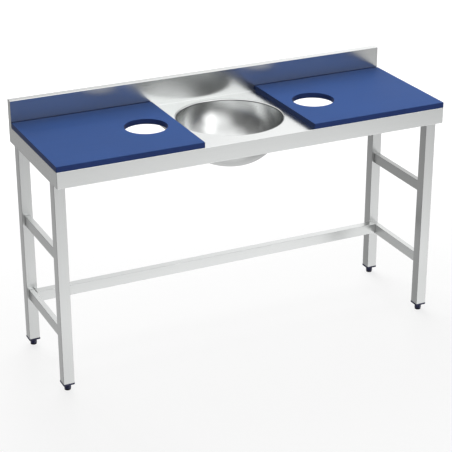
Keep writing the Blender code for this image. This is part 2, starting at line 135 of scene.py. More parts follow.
# Brushed and spun steel. A pattern is its repeats a metre, its detail and its roughness.
steelLooks = {
    "colour": (0.655, 0.666, 0.662),
    "sheetRoughness": 0.235,
    "tubeRoughness": 0.300,
    "bowlRoughness": 0.225,
    "relief": (0.05, 0.0002),  # strength, and depth in metres
    "streaks": (620, 5, 3.0, 0.6),  # the first two repeats are across the brushing and along it
    "bands": (75, 1.25, 2.0, 0.55),
    "handMarks": ((5, 5, 5), 3.0, 0.5),
    "streakShare": 0.7,
    "bandShare": 0.3,
    "grainRange": (0.32, 0.68),
    "grainShade": 0.022,
    "streakSwing": 0.10,  # of the roughness
    "bandSwing": 0.02,
    "handSwing": 0.03,
    "rings": ((420, 1, 420), 2.0, 0.55),  # out from the bowl's middle, and up
    "wipes": ((9, 9, 9), 3.0, 0.5),
    "ringShade": 0.02,
    "ringSwing": 0.05,
    "wipeSwing": 0.05,
    # painted light and shade: two heights, and what the colour is multiplied by below and above them
    # painted light: the deck and everything below it brighter than the splashback
    "deckPaintedLight": (0.8505, 0.8530, 1.07, 1.0),
    # painted shade: the legs darker towards the floor
    "legPaintedShade": (0.04, 0.32, 0.89, 1.0),
    # painted light and shade: the stretcher's front lighter, its top face darker
    "stretcherPaintedShading": (0.2335, 0.2358, 1.05, 0.90),
    # painted shade: the top face of the right-hand middle rail at half brightness
    "middleRailPaintedShade": (0.5314, 0.5319, 1.00, 0.50),
    # painted light and shade: the right-hand lower rail's sides lighter, its top face darker
    "lowerRailPaintedShading": (0.2334, 0.2339, 1.36, 0.80),
}


def brushedSteel(name, axis, roughness, paintedShading=None):
    looks = steelLooks
    finish = newFinish(name, looks["colour"], looks[roughness], 1.0)

    def brushed(across, along, detail, rough):
        repeats = [across] * 3
        repeats[axis] = along
        return finish.noise(repeats, detail, rough)

    streaks = brushed(*looks["streaks"])
    bands = brushed(*looks["bands"])
    hands = finish.noise(*looks["handMarks"])
    grain = looks["streakShare"] * streaks + looks["bandShare"] * bands
    grain = finish.ramp(grain, *looks["grainRange"])
    colour = finish.tint(grain, *shades(looks["colour"], looks["grainShade"]))
    # painted light and shade: the colour is scaled by the height, so some faces come out lighter and some
    # darker
    if paintedShading:
        height = finish.node("ShaderNodeSeparateXYZ", {}, {0: finish.place()}, "Z")
        inputs = {0: colour, "Scale": finish.ramp(height, *looks[paintedShading])}
        colour = finish.node("ShaderNodeVectorMath", {"operation": "SCALE"}, inputs)
    finish.feed("Base Color", colour)
    swings = [(streaks, looks["streakSwing"]), (bands, looks["bandSwing"]), (hands, looks["handSwing"])]
    finish.feed("Roughness", waver(looks[roughness], *swings))
    finish.emboss(streaks, *looks["relief"])
    return finish.material


def spunSteel(name, roughness):  # grain in rings round the middle of the bowl
    looks = steelLooks
    finish = newFinish(name, looks["colour"], looks[roughness], 1.0)
    where = finish.place()
    flat = finish.node("ShaderNodeVectorMath", {"operation": "MULTIPLY"}, {0: where, 1: (1, 1, 0)})
    radius = finish.node("ShaderNodeVectorMath", {"operation": "LENGTH"}, {0: flat}, "Value")
    height = finish.node("ShaderNodeSeparateXYZ", {}, {0: where}, "Z")
    ringed = finish.node("ShaderNodeCombineXYZ", {}, {"X": radius, "Z": height})
    rings = finish.noise(*looks["rings"], ringed)
    wipes = finish.noise(*looks["wipes"])
    finish.feed("Base Color", finish.tint(rings, *shades(looks["colour"], looks["ringShade"])))
    swings = [(rings, looks["ringSwing"]), (wipes, looks["wipeSwing"])]
    finish.feed("Roughness", waver(looks[roughness], *swings))
    finish.emboss(rings, *looks["relief"])
    return finish.material


# Finishes with a fine grain in their gloss and relief, and wide patches in their colour
weldLooks = {  # dressed: duller than the tube, with fine ripples
    "colour": (0.62, 0.62, 0.61),
    "roughness": 0.33,
    "metallic": 1.0,
    "grain": ((700, 700, 700), 3.0, 0.6),
    "patches": ((60, 60, 60), 2.0, 0.5),
    "patchColours": ((0.64, 0.63, 0.61), (0.60, 0.60, 0.61)),
    "smoothest": 0.27,
    "grainRoughness": 0.12,
    "relief": (0.18, 0.0003),
}
drainLooks = {  # bright, and wiped round
    "colour": (0.70, 0.70, 0.69),
    "roughness": 0.16,
    "metallic": 1.0,
    "grain": ((40, 40, 300), 3.0, 0.55),
    "patches": ((14, 14, 14), 2.0, 0.5),
    "patchColours": shades((0.70, 0.70, 0.69), 0.02),
    "smoothest": 0.11,
    "grainRoughness": 0.09,
    "patchRoughness": 0.04,
    "relief": (0.05, 0.0002),
}
zincLooks = {  # dull and a little blue, with a soft mottle
    "colour": (0.55, 0.57, 0.60),
    "roughness": 0.36,
    "metallic": 1.0,
    "grain": ((260, 260, 260), 3.0, 0.6),
    "patches": ((60, 60, 60), 2.0, 0.5),
    "patchColours": ((0.50, 0.52, 0.56), (0.62, 0.63, 0.64)),
    "smoothest": 0.26,
    "grainRoughness": 0.20,
    "relief": (0.12, 0.0002),
}
plasticLooks = {  # moulded, with faint flow marks
    "colour": (0.012, 0.015, 0.075),
    "roughness": 0.40,
    "metallic": 0.0,
    "grain": ((1300, 1300, 1300), 2.0, 0.5),
    "patches": ((90, 90, 40), 3.0, 0.55),
    "patchColours": ((0.010, 0.013, 0.066), (0.015, 0.018, 0.086)),
    "smoothest": 0.33,
    "grainRoughness": 0.14,
    "relief": (0.14, 0.0002),
}
# also used for the dark ring round the bowl, a painted shadow line
rubberAndSeamShadeLooks = {  # dark, with dust on it
    "colour": (0.012, 0.012, 0.020),
    "roughness": 0.72,
    "metallic": 0.0,
    "grain": ((900, 900, 900), 3.0, 0.6),
    "patches": ((70, 70, 70), 3.0, 0.6),
    "patchRange": (0.4, 0.8),
    "patchColours": ((0.010, 0.010, 0.018), (0.030, 0.030, 0.036)),
    "smoothest": 0.62,
    "grainRoughness": 0.20,
    "relief": (0.22, 0.0003),
}


def grainyFinish(name, looks):
    finish = newFinish(name, looks["colour"], looks["roughness"], looks["metallic"])
    grain = finish.noise(*looks["grain"])
    patches = finish.noise(*looks["patches"])
    amount = finish.ramp(patches, *looks["patchRange"]) if "patchRange" in looks else patches
    finish.feed("Base Color", finish.tint(amount, *looks["patchColours"]))
    roughness = looks["smoothest"] + looks["grainRoughness"] * grain
    if "patchRoughness" in looks:
        roughness = roughness + looks["patchRoughness"] * patches
    finish.feed("Roughness", roughness)
    finish.emboss(grain, *looks["relief"])
    return finish.material


boardLooks = {
    "faceColour": (0.0310, 0.0900, 0.300),
    "faceGloss": 0.03,
    "sawnColour": (0.0450, 0.0820, 0.275),
    "sawnGloss": 0.07,
    # painted shade: the inner ends beside the bowl are darker and duller than the other sides
    "paintedShadeEndColour": (0.0270, 0.0530, 0.165),  # the ends beside the bowl
    "paintedShadeEndGloss": 0.05,
    "roughness": 0.42,
    "pebble": ((520, 520, 520), 3.0, 0.55),
    "planing": ((6, 210, 210), 2.0, 0.5),
    "clouds": ((5, 5, 5), 3.0, 0.55),
    "cloudShare": 0.55,
    "planingShare": 0.25,
    "pebbleShare": 0.20,
    "shadeRange": (0.35, 0.65),
    "shade": 0.045,
    "pebbleSwing": 0.10,  # of the roughness
    "cloudSwing": 0.08,
    "pebbleHeight": 0.7,
    "planingHeight": 0.3,
    "relief": (0.16, 0.0003),
}


def boardPlastic(name, part):  # polyethylene with a fine pebble and faint planing marks
    looks = boardLooks
    colour = looks[part + "Colour"]
    finish = newFinish(name, colour, looks["roughness"], 0.0)
    finish.shader.inputs["Specular IOR Level"].default_value = looks[part + "Gloss"]
    pebble = finish.noise(*looks["pebble"])
    planing = finish.noise(*looks["planing"])
    clouds = finish.noise(*looks["clouds"])
    shade = looks["cloudShare"] * clouds + looks["planingShare"] * planing + looks["pebbleShare"] * pebble
    shade = finish.ramp(shade, *looks["shadeRange"])
    finish.feed("Base Color", finish.tint(shade, *shades(colour, looks["shade"])))
    swings = [(pebble, looks["pebbleSwing"]), (clouds, looks["cloudSwing"])]
    finish.feed("Roughness", waver(looks["roughness"], *swings))
    finish.emboss(looks["pebbleHeight"] * pebble + looks["planingHeight"] * planing, *looks["relief"])
    return finish.material


finishes = {
    "sheet": brushedSteel("brushedSheetPaintedLight", 0, "sheetRoughness", "deckPaintedLight"),
    "endSheet": brushedSteel("brushedEndSheet", 1, "sheetRoughness"),
    "tubeX": brushedSteel("brushedStretcherPaintedShading", 0, "tubeRoughness", "stretcherPaintedShading"),
    "tubeY": brushedSteel("brushedRail", 1, "tubeRoughness"),
    "middleRail": brushedSteel("brushedMiddleRailPaintedShade", 1, "tubeRoughness", "middleRailPaintedShade"),
    "lowerRail": brushedSteel("brushedLowerRailPaintedShading", 1, "tubeRoughness", "lowerRailPaintedShading"),
    "tubeZ": brushedSteel("brushedLegPaintedShade", 2, "tubeRoughness", "legPaintedShade"),
    "bowl": spunSteel("spunBowl", "bowlRoughness"),
    "weld": grainyFinish("dressedWeld", weldLooks),
    "bright": grainyFinish("brightDrain", drainLooks),
    "zinc": grainyFinish("zincPlate", zincLooks),
    "board": boardPlastic("blueBoard", "face"),
    "sawn": boardPlastic("blueBoardEdge", "sawn"),
    "paintedShadeEnd": boardPlastic("blueBoardInnerEndPaintedShade", "paintedShadeEnd"),
    "plastic": grainyFinish("navyPlastic", plasticLooks),
    "rubber": grainyFinish("soleRubber", rubberAndSeamShadeLooks),
    # a dark finish used as painted shade in the seam round the bowl
    "paintedSeamShade": grainyFinish("bowlSeamPaintedShade", rubberAndSeamShadeLooks),
}
print("finishes made:", len(finishes))


# Modelling helpers
cutReach = 0.01  # how far a cutter stands out of what it cuts
seatGap = 0.0003  # between pieces that rest on each other
mergeDistance = 0.00001


def takeUp(piece):
    bpy.ops.object.select_all(action="DESELECT")
    piece.select_set(True)
    bpy.context.view_layer.objects.active = piece


def newest(name):
    piece = bpy.context.object
    piece.name = name
    piece.data.name = name
    return piece


def settle(piece):  # puts its place in its mesh
    takeUp(piece)
    bpy.ops.object.transform_apply(location=True, rotation=True, scale=True)


def choose(piece, kind, test):  # stays in edit mode, with what passes the test selected
    takeUp(piece)
    bpy.ops.object.mode_set(mode="EDIT")
    bpy.ops.mesh.select_mode(type=kind)
    bpy.ops.mesh.select_all(action="DESELECT")
    bpy.ops.object.mode_set(mode="OBJECT")
    mesh = piece.data
    for part in {"VERT": mesh.vertices, "EDGE": mesh.edges, "FACE": mesh.polygons}[kind]:
        part.select = test(part)
    bpy.ops.object.mode_set(mode="EDIT")


def chooseAll(piece, kind):
    choose(piece, kind, lambda part: True)


def leaveEdit():
    bpy.ops.object.mode_set(mode="OBJECT")


def ends(piece, edge):
    return [piece.data.vertices[index].co for index in edge.vertices]


def runsAlong(piece, edge, axis):
    first, second = ends(piece, edge)
    return abs((second - first).normalized()[axis]) > 0.99


def facing(face, axis, way=0):  # looks along an axis, one way or either
    along = face.normal[axis]
    return (along * way if way else abs(along)) > 0.9


def isSide(face):  # faces sideways rather than up or down
    return abs(face.normal.z) < 0.5


def outBy(point):  # how far it is from the upright axis through the bowl
    return Vector(point[:2]).length


def spot(*place):  # a place to the nearest 0.1 mm, to look up by
    return tuple(round(part, 4) for part in place)


def middle(low, high):
    return (low.x + high.x) / 2, (low.y + high.y) / 2


def halfWidth(low, high):
    return (high.x - low.x) / 2


def tag(place):  # front_left becomes FrontLeft
    return place.title().replace("_", "")


def applyAll(piece):
    takeUp(piece)
    for step in list(piece.modifiers):
        bpy.ops.object.modifier_apply(modifier=step.name)


def roundEdges(piece, width, steps=3, angle=40):
    step = piece.modifiers.new("rounding", "BEVEL")
    step.width = width
    step.segments = steps
    step.limit_method = "ANGLE"
    step.angle_limit = radians(angle)
    applyAll(piece)


def addWall(piece, thickness):  # the wall grows behind the faces
    step = piece.modifiers.new("wall", "SOLIDIFY")
    step.thickness = thickness
    step.offset = -1
    step.use_even_offset = True
    applyAll(piece)


def combine(piece, other, operation):
    step = piece.modifiers.new("combined", "BOOLEAN")
    step.operation = operation
    step.solver = "EXACT"
    step.object = other
    applyAll(piece)
    bpy.data.objects.remove(other, do_unlink=True)


def bevelEdges(piece, test, width, steps):
    choose(piece, "EDGE", test)
    bpy.ops.mesh.bevel(offset=width, segments=steps, affect="EDGES")
    leaveEdit()


def bevelAlong(piece, axis, width, steps):
    bevelEdges(piece, lambda edge: runsAlong(piece, edge, axis), width, steps)


def fold(piece, axis, spots, radius, steps):  # rounds the edges along an axis that stand at these spots
    others = [other for other in range(3) if other != axis]

    def isFold(edge):
        first = ends(piece, edge)[0]
        return runsAlong(piece, edge, axis) and spot(*[first[other] for other in others]) in spots

    bevelEdges(piece, isFold, radius, steps)


def giveFinish(piece, slot, test):  # puts the faces that pass the test in another material slot
    choose(piece, "FACE", test)
    piece.active_material_index = slot
    bpy.ops.object.material_slot_assign()
    leaveEdit()


def block(name, low, high):
    low, high = Vector(low), Vector(high)
    bpy.ops.object.select_all(action="DESELECT")
    bpy.ops.mesh.primitive_cube_add(size=1, location=(low + high) / 2, scale=high - low)
    piece = newest(name)
    settle(piece)
    return piece


def drum(name, radius, low, high, x, y, sides):
    bpy.ops.object.select_all(action="DESELECT")
    bpy.ops.mesh.primitive_cylinder_add(
        vertices=sides, radius=radius, depth=high - low, location=(x, y, (low + high) / 2)
    )
    piece = newest(name)
    settle(piece)
    return piece


def hexagon(name, low, high, x, y):  # across its flats it is as wide as its box
    return drum(name, min(high.x - low.x, high.y - low.y) / sqrt(3), low.z, high.z, x, y, 6)


def drill(piece, radius, low, high, x=0, y=0, sides=32):
    bit = drum("drillBit", radius, low - cutReach, high + cutReach, x, y, sides)
    combine(piece, bit, "DIFFERENCE")


def drawLine(name, points, closed=False):
    points = [Vector(point) for point in points]
    bpy.ops.object.select_all(action="DESELECT")
    bpy.ops.mesh.primitive_plane_add(size=0.01, location=points[0])
    line = newest(name)
    bpy.ops.object.mode_set(mode="EDIT")
    bpy.ops.mesh.select_mode(type="VERT")
    bpy.ops.mesh.select_all(action="SELECT")
    bpy.ops.mesh.merge(type="CENTER")
    for start, stop in zip(points, points[1:]):
        bpy.ops.mesh.extrude_vertices_move(TRANSFORM_OT_translate={"value": stop - start})
    if closed:
        bpy.ops.mesh.extrude_vertices_move(TRANSFORM_OT_translate={"value": points[0] - points[-1]})
        bpy.ops.mesh.select_all(action="SELECT")
        bpy.ops.mesh.remove_doubles(threshold=mergeDistance)
    leaveEdit()
    settle(line)
    return line


def stretchLine(line, move):  # a drawn line becomes a sheet
    chooseAll(line, "VERT")
    bpy.ops.mesh.extrude_edges_move(TRANSFORM_OT_translate={"value": move})
    leaveEdit()


def faceUp(sheet, face):  # turns a sheet over where this face of it looks down
    if face.normal.z < 0:
        chooseAll(sheet, "FACE")
        bpy.ops.mesh.flip_normals()
        leaveEdit()


def arc(radius, height, size, start, stop, steps):  # profile points round a rounded corner
    turn = (stop - start) / steps
    angles = [radians(start + turn * step) for step in range(steps + 1)]
    return [(radius + size * cos(angle), height + size * sin(angle)) for angle in angles]


def thread(radius, low, high, pitch, depth):  # profile points of its ridges, from the top down
    root = radius - depth
    flat = pitch / 8
    points = [(root, high)]
    height = high - pitch / 2
    while height - pitch > low:
        points += [(radius, height), (radius, height - flat)]
        points += [(root, height - pitch / 2), (root, height - pitch / 2 - flat)]
        height -= pitch
    return points


# turns a profile of (radius, height) points round an upright axis
def spinProfile(name, profile, x, y, steps, closed=False):
    piece = drawLine(name, [(x + radius, y, height) for radius, height in profile], closed)
    chooseAll(piece, "VERT")
    bpy.ops.mesh.spin(steps=steps, angle=2 * pi, center=(x, y, 0), axis=(0, 0, 1))
    bpy.ops.mesh.select_all(action="SELECT")
    bpy.ops.mesh.remove_doubles(threshold=mergeDistance)
    bpy.ops.mesh.normals_make_consistent(inside=False)
    leaveEdit()
    return piece


def smooth(piece, evened):
    takeUp(piece)
    bpy.ops.object.shade_smooth_by_angle(angle=radians(35))
    if evened:  # keeps broad flat faces flat beside their rounded edges
        step = piece.modifiers.new("evened", "WEIGHTED_NORMAL")
        step.keep_sharp = True
        applyAll(piece)


def finishPiece(piece, finish, body, nodes, evened=True):
    if not piece.data.materials:
        piece.data.materials.append(finishes[finish])
    smooth(piece, evened)
    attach(piece, body)
    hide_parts(*nodes)


# The folded top, its splashback and end plates
topSizes = {
    "sheet": 0.0015,
    "return": 0.015,
    "foldRadius": 0.0018,
    "insideFold": 0.0005,  # where the splashback rises
    "foldSteps": 5,
    "bowlHole": 0.2000,
    "bowlSteps": 144,
    "holeEdge": 0.0003,
    "holeEdgeSteps": 3,
    "holeNear": 0.0002,  # what lies this close to the hole's edge is part of it
    "wasteInset": 0.1205,  # from a board's inner end to the middle of its hole
    "wasteHole": 0.170,
    "wasteCorner": 0.020,
    "wasteSteps": 8,
    "endRounding": 0.0011,
    "endSteps": 4,
    "endNear": 0.0001,
}


def wasteSpot(side):
    low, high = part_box("board_right")
    return side * (low.x + topSizes["wasteInset"]), (low.y + high.y) / 2


def makeTop():
    sizes = topSizes
    low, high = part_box("worktop")
    capLow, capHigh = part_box("splash_cap")
    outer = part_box("end_panel_right")[0].x
    path = [
        (low.y + sizes["return"], low.z), (low.y, low.z), (low.y, high.z), (capLow.y, high.z),
        (capLow.y, capHigh.z), (capHigh.y, capHigh.z), (capHigh.y, capLow.z),
    ]
    top = drawLine("topSheet", [(-outer, y, z) for y, z in path])
    stretchLine(top, (2 * outer, 0, 0))
    rise = spot(capLow.y, high.z)
    folds = {spot(*place) for place in path[1:-1]} - {rise}
    fold(top, 0, folds, sizes["foldRadius"], sizes["foldSteps"])
    fold(top, 0, {rise}, sizes["insideFold"], sizes["foldSteps"])
    faceUp(top, max(top.data.polygons, key=lambda face: face.area))
    addWall(top, sizes["sheet"])
    hole, near = sizes["bowlHole"], sizes["holeNear"]
    drill(top, hole, high.z, high.z, sides=sizes["bowlSteps"])

    def onRim(edge):
        return all(abs(outBy(point) - hole) < near and high.z - point.z < near for point in ends(top, edge))

    bevelEdges(top, onRim, sizes["holeEdge"], sizes["holeEdgeSteps"])
    for finish in ("sheet", "paintedSeamShade"):
        top.data.materials.append(finishes[finish])
    # the wall of the bowl's hole takes the dark finish, a painted shadow line round the rim
    giveFinish(top, 1, lambda face: isSide(face) and abs(outBy(face.center) - hole) < near)
    half = sizes["wasteHole"] / 2
    for side in (-1, 1):
        x, y = wasteSpot(side)
        corner = (x - half, y - half, high.z - cutReach)
        cutter = block("wasteCut", corner, (x + half, y + half, high.z + cutReach))
        bevelAlong(cutter, 2, sizes["wasteCorner"], sizes["wasteSteps"])
        combine(top, cutter, "DIFFERENCE")
    finishPiece(top, "sheet", "table", ["worktop", "splashback", "splash_cap", "bowl_collar"])


def makeEndPlate(side, way):
    sizes = topSizes
    low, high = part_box(f"end_panel_{way}")
    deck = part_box("worktop")[1].z
    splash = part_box("splash_cap")[0].y
    outline = [
        (low.y, low.z), (high.y, low.z), (high.y, high.z),
        (splash, high.z), (splash, deck), (low.y, deck),
    ]
    plate = drawLine("endPlate" + way.title(), [(low.x, y, z) for y, z in outline], True)
    chooseAll(plate, "VERT")
    bpy.ops.mesh.edge_face_add()
    bpy.ops.mesh.extrude_region_move(TRANSFORM_OT_translate={"value": (high.x - low.x, 0, 0)})
    bpy.ops.mesh.select_all(action="SELECT")
    bpy.ops.mesh.normals_make_consistent(inside=False)
    leaveEdit()
    corners = {spot(*outline[index]) for index in (0, 2, 3, 5)}
    fold(plate, 0, corners, sizes["foldRadius"], sizes["foldSteps"])
    outside = high.x if side > 0 else low.x
    rim = set()
    for face in plate.data.polygons:
        if facing(face, 0) and abs(face.center.x - outside) < sizes["endNear"]:
            rim.update(face.vertices)
    bevelEdges(plate, lambda edge: rim.issuperset(edge.vertices), sizes["endRounding"], sizes["endSteps"])
    finishPiece(plate, "endSheet", "table", [f"end_panel_{way}"])


makeTop()
for side, way in ((-1, "left"), (1, "right")):
    makeEndPlate(side, way)
print("top folded")


# The bowl, with a rolled lip inside the top's hole and a groove under it, painted dark as shade
bowlSizes = {
    "rimOuter": 0.2028,
    "rimDrop": 0.0016,  # the flange lies just under the top sheet
    "lip": 0.1989,
    "lipDrop": 0.0002,
    "lipEdge": 0.0002,
    "lipFlat": 0.0003,
    "roll": 0.0042,
    "rollSteps": 8,
    "seam": 0.0009,
    "throat": 0.1935,
    "depth": 0.1668,
    "land": 0.040,
    "wall": 0.0012,
    "wallStart": 0.01,  # how much further round the outside begins, in radians
    "drainHole": 0.0215,
    "rings": 44,
    "steps": 144,
}


def makeBowl():
    sizes = bowlSizes
    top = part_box("worktop")[1].z

    def side(extra, start):  # one face of the wall, down to the flat at the bottom
        points = []
        for ring in range(sizes["rings"] + 1):
            angle = start + (pi / 2 - start) * ring / sizes["rings"]
            across = sizes["land"] + (sizes["throat"] + extra - sizes["land"]) * cos(angle)
            points.append((across, top - (sizes["depth"] + extra) * sin(angle)))
        return points

    lip, roll, wall, hole = sizes["lip"], sizes["roll"], sizes["wall"], sizes["drainHole"]
    rim = top - sizes["rimDrop"]
    crest = top - sizes["lipDrop"]
    seamTop = crest - roll
    seamBottom = seamTop - sizes["seam"]
    bottom = top - sizes["depth"]
    start = (top - seamBottom) / sizes["depth"]
    profile = [(sizes["rimOuter"], rim), (lip, rim), (lip, crest - sizes["lipEdge"])]
    profile += arc(lip - sizes["lipFlat"], seamTop, roll, 90, 180, sizes["rollSteps"])
    profile += side(0, start) + [(hole, bottom), (hole, bottom - wall)]
    profile += side(wall, start + sizes["wallStart"])[::-1] + [(sizes["rimOuter"], rim - wall)]
    bowl = spinProfile("bowlShell", profile, 0, 0, sizes["steps"], closed=True)
    for finish in ("bowl", "paintedSeamShade"):
        bowl.data.materials.append(finishes[finish])

    def inSeam(face):
        return seamBottom < face.center.z < seamTop and outBy(face.center) < lip - roll

    # the groove under the lip takes the dark finish, painted shade
    giveFinish(bowl, 1, inSeam)
    finishPiece(bowl, "bowl", "table", ["bowl"], evened=False)


makeBowl()
print("bowl spun")


# The two boards
boardSizes = {
    "edge": 0.0010,
    "hole": 0.0775,
    "holeSteps": 128,
    "socket": 0.0065,
    "socketDepth": 0.010,
    "socketSteps": 32,
    "pegInset": 0.060,
    "endNear": 0.0001,
}


def makeBoard(side, way):
    sizes = boardSizes
    node = f"board_{way}"
    low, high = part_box(node)
    board = block("board" + way.title(), low, high)
    drill(board, sizes["hole"], low.z, high.z, *wasteSpot(side), sizes["holeSteps"])
    roundEdges(board, sizes["edge"])
    inset = sizes["pegInset"]
    x = high.x - inset if side > 0 else low.x + inset
    for y in (low.y + inset, high.y - inset):
        deep = low.z + sizes["socketDepth"]
        socket = drum("socket", sizes["socket"], low.z - cutReach, deep, x, y, sizes["socketSteps"])
        combine(board, socket, "DIFFERENCE")
    for finish in ("board", "sawn", "paintedShadeEnd"):
        board.data.materials.append(finishes[finish])
    inner = low.x if side > 0 else high.x
    giveFinish(board, 1, isSide)
    # the inner end beside the bowl takes the darker finish, a painted shade
    giveFinish(board, 2, lambda face: facing(face, 0) and abs(face.center.x - inner) < sizes["endNear"])
    finishPiece(board, "board", node, [node])


for side, way in ((-1, "left"), (1, "right")):
    makeBoard(side, way)
print("boards cut")


# Legs, rails, stretcher and their welds
tubeSizes = {
    "wall": 0.0015,
    "corner": 0.0012,
    "cornerSteps": 4,
    "weld": 0.0007,
    "weldThick": 0.0010,
}


def makeWeld(low, high, axis, atHigh):  # a dressed fillet round a tube's end
    sizes = tubeSizes
    low, high = low.copy(), high.copy()
    others = [other for other in range(3) if other != axis]
    for other in others:
        low[other] -= sizes["weld"]
        high[other] += sizes["weld"]
    if atHigh:
        low[axis] = high[axis] - sizes["weldThick"]
    else:
        high[axis] = low[axis] + sizes["weldThick"]
    weld = block("weld", low, high)
    bevelAlong(weld, axis, sizes["corner"] + sizes["weld"], sizes["cornerSteps"])
    choose(weld, "FACE", lambda face: facing(face, axis, -1 if atHigh else 1))
    taper = [1.0, 1.0, 1.0]
    for other in others:
        taper[other] = 1 - 2 * sizes["weld"] / (high[other] - low[other])
    bpy.ops.transform.resize(value=taper, center_override=(low + high) / 2)
    leaveEdit()
    weld.data.materials.append(finishes["weld"])
    return weld


def makeTube(name, node, axis, finish):
    sizes = tubeSizes
    low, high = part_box(node)
    tube = block(name, low, high)
    choose(tube, "FACE", lambda face: facing(face, axis))
    bpy.ops.mesh.delete(type="ONLY_FACE")
    leaveEdit()
    bevelAlong(tube, axis, sizes["corner"], sizes["cornerSteps"])
    addWall(tube, sizes["wall"])
    tube.data.materials.append(finishes[finish])
    if axis != 2:  # all but the legs are welded at both ends
        welds = [makeWeld(low, high, axis, atHigh) for atHigh in (False, True)]
        takeUp(tube)
        for weld in welds:
            weld.select_set(True)
        bpy.ops.object.join()
    finishPiece(tube, finish, "table", [node])


for row in ("front", "back"):
    for way in ("left", "right"):
        makeTube("leg" + row.title() + way.title(), f"leg_{row}_{way}", 2, "tubeZ")
# the right-hand middle and lower rails take copies of the rail finish with painted light and shade
for row, rightFinish in (("top", "tubeY"), ("middle", "middleRail"), ("lower", "lowerRail")):
    for way, finish in (("left", "tubeY"), ("right", rightFinish)):
        makeTube(row + "Rail" + way.title(), f"{row}_rail_{way}", 1, finish)
makeTube("rearStretcher", "rear_stretcher", 0, "tubeX")
print("frames welded")


# Plugs in the legs
plugSizes = {
    "corner": 0.0030,
    "cornerSteps": 5,
    "edge": 0.0009,
    "edgeAngle": 60,  # rounds the lip's edges, and not its corners again
    "bodyHalf": 0.0182,
    "bodySunk": 0.0003,  # into the lip
    "bodyProud": 0.0002,
    "bodyEdge": 0.0015,
    "bore": 0.0053,
}


def makePlug(place):
    sizes = plugSizes
    node = f"leg_plug_{place}"
    low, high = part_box(node)
    x, y = middle(low, high)
    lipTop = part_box(f"leg_{place}")[0].z
    lip = block("legPlug" + tag(place), low, (high.x, high.y, lipTop))
    bevelAlong(lip, 2, sizes["corner"], sizes["cornerSteps"])
    roundEdges(lip, sizes["edge"], angle=sizes["edgeAngle"])
    half = sizes["bodyHalf"]
    foot = (x - half, y - half, lipTop - sizes["bodySunk"])
    body = block("plugBody", foot, (x + half, y + half, high.z + sizes["bodyProud"]))
    roundEdges(body, sizes["bodyEdge"])
    combine(lip, body, "UNION")
    drill(lip, sizes["bore"], low.z, high.z, x, y)
    finishPiece(lip, "plastic", "table", [node])


# Adjustable feet: a hexagon on a threaded stud, over a sole
footSizes = {
    "shoulder": 0.0045,  # flat top of the hexagon, round a shallow dish
    "dishRim": 0.0010,
    "dishDepth": 0.0012,
    "hexEdge": 0.0010,
    "studTip": 0.0015,
    "studPlain": 0.0005,
    "studSunk": 0.001,
    "pitch": 0.0015,
    "threadDepth": 0.0009,
    "studSteps": 32,
    "neck": 0.0040,
    "neckEdge": 0.0005,
    "soleTopRound": 0.0012,
    "soleFootRound": 0.0010,
    "soleRoundSteps": 4,
    "grooves": (0.0105, 0.0082, 0.0059),  # outer radius of each ring cut in the sole
    "grooveStep": 0.0004,
    "grooveDepth": 0.0006,
    "soleSteps": 48,
}


def makeFootHexagon(place, low, high, x, y):
    sizes = footSizes
    nut = hexagon("footHex" + tag(place), low, high, x, y)
    choose(nut, "FACE", lambda face: facing(face, 2, 1))
    bpy.ops.mesh.inset(thickness=sizes["shoulder"], depth=0)
    bpy.ops.mesh.inset(thickness=sizes["dishRim"], depth=-sizes["dishDepth"])
    leaveEdit()
    roundEdges(nut, sizes["hexEdge"])
    finishPiece(nut, "plastic", f"foot_{place}", [f"foot_hex_{place}"])


def makeFootStud(place, hexTop, x, y):
    sizes = footSizes
    node = f"foot_stud_{place}"
    low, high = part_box(node)
    radius, depth = halfWidth(low, high), sizes["threadDepth"]
    start, stop = hexTop - sizes["studSunk"], high.z - sizes["studPlain"]
    profile = [(0, high.z), (radius - sizes["studTip"], high.z)]
    profile += thread(radius, start, stop, sizes["pitch"], depth)
    profile += [(radius - depth, low.z), (0, low.z)]
    stud = spinProfile("footStud" + tag(place), profile, x, y, sizes["studSteps"])
    finishPiece(stud, "zinc", f"foot_{place}", [node], evened=False)


def makeSole(place, hexBottom, x, y):
    sizes = footSizes
    node = f"foot_sole_{place}"
    low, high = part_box(node)
    radius, top = halfWidth(low, high), hexBottom - seatGap
    neck, edge, steps = sizes["neck"], sizes["neckEdge"], sizes["soleRoundSteps"]
    profile = [(0, high.z), (neck - edge, high.z), (neck, high.z - edge), (neck, top)]
    size = sizes["soleTopRound"]
    profile += arc(radius - size, top - size, size, 90, 0, steps)
    size = sizes["soleFootRound"]
    profile += arc(radius - size, size, size, 0, -90, steps)
    step, deep = sizes["grooveStep"], sizes["grooveDepth"]
    for ring in sizes["grooves"]:
        profile += [(ring, 0), (ring - step, deep), (ring - 2 * step, deep), (ring - 3 * step, 0)]
    profile += [(0, 0)]
    sole = spinProfile("footSole" + tag(place), profile, x, y, sizes["soleSteps"])
    finishPiece(sole, "rubber", f"foot_{place}", [node], evened=False)


for place in ("front_left", "front_right", "back_left", "back_right"):
    makePlug(place)
    low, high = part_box(f"foot_hex_{place}")
    x, y = middle(low, high)
    makeFootHexagon(place, low, high, x, y)
    makeFootStud(place, high.z, x, y)
    makeSole(place, low.z, x, y)
    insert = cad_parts[f"threaded_insert_{place}"]
    for index in range(len(insert.data.materials)):
        insert.data.materials[index] = finishes["zinc"]
print("feet screwed in")


# Hat stiffeners under the top
hatSizes = {
    "sheet": 0.0012,
    "crown": 0.016,
    "fold": 0.0018,
    "foldSteps": 3,
}


